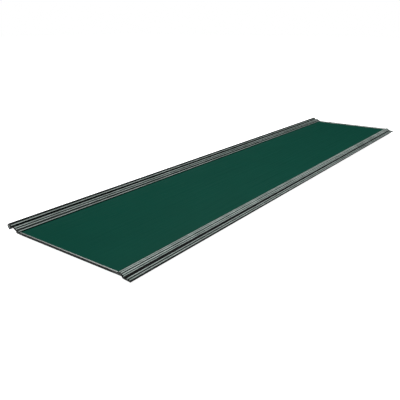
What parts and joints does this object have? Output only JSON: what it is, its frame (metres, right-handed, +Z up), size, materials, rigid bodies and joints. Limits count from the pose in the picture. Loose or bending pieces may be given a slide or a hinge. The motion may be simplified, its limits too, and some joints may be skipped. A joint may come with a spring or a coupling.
{
  "type": "straight slide section",
  "caption": "Low straight slide bed section: flat green sheet between a raised left rail with a round edge tube and a stepped-down right lap rail, on a shallow steel underframe.",
  "frame": {"origin": "on the ground, under the middle of the overall length and width", "axes": "+Z up, +Y along the slide from the exit end to the entry end, +X across it from the raised left rail to the stepped-down right rail"},
  "size_m": [0.601, 2.6, 0.0547],
  "materials": {
    "bed_coat": "moss green powder coat, smooth semi-gloss",
    "rail_coat": "dark moss green powder coat on extruded aluminium",
    "rub_strip": "light grey moulded nylon, satin",
    "trim_metal": "mill aluminium, lightly brushed",
    "black_plastic": "black moulded nylon",
    "black_rubber": "black EPDM rubber",
    "galvanised_steel": "hot-dip galvanised",
    "zinc_fastener": "bright zinc plate"
  },
  "bodies": {
    "root": {"bearer_nuts": "zinc_fastener", "bearer_pad_1": "black_rubber", "bearer_pad_2": "black_rubber", "bearer_pad_3": "black_rubber", "bearer_pad_4": "black_rubber", "bearer_pad_5": "black_rubber", "bearer_studs": "zinc_fastener", "bed_sheet": "bed_coat", "bracket_nuts": "zinc_fastener", "bracket_studs": "zinc_fastener", "cross_bearer_1": "galvanised_steel", "cross_bearer_2": "galvanised_steel", "cross_bearer_3": "galvanised_steel", "cross_bearer_4": "galvanised_steel", "cross_bearer_5": "galvanised_steel", "entry_bracket": "galvanised_steel", "entry_nosing": "black_rubber", "entry_trim": "trim_metal", "exit_bracket": "galvanised_steel", "exit_nosing": "black_rubber", "exit_trim": "trim_metal", "left_edge_tube": "rail_coat", "left_rail": "rail_coat", "left_rail_entry_guard": "black_plastic", "left_rail_exit_guard": "black_plastic", "left_rub_strip_1": "rub_strip", "left_rub_strip_2": "rub_strip", "left_rub_strip_3": "rub_strip", "left_rub_strip_4": "rub_strip", "left_stringer": "galvanised_steel", "left_tube_entry_plug": "black_plastic", "left_tube_exit_plug": "black_plastic", "rail_nuts": "zinc_fastener", "rail_studs": "zinc_fastener", "right_lap_seal": "black_rubber", "right_rail": "rail_coat", "right_rail_entry_guard": "black_plastic", "right_rail_exit_guard": "black_plastic", "right_rub_strip_1": "rub_strip", "right_rub_strip_2": "rub_strip", "right_rub_strip_3": "rub_strip", "right_rub_strip_4": "rub_strip", "right_rub_strip_5": "rub_strip", "right_rub_strip_6": "rub_strip", "right_stringer": "galvanised_steel"}
  },
  "joints": []
}
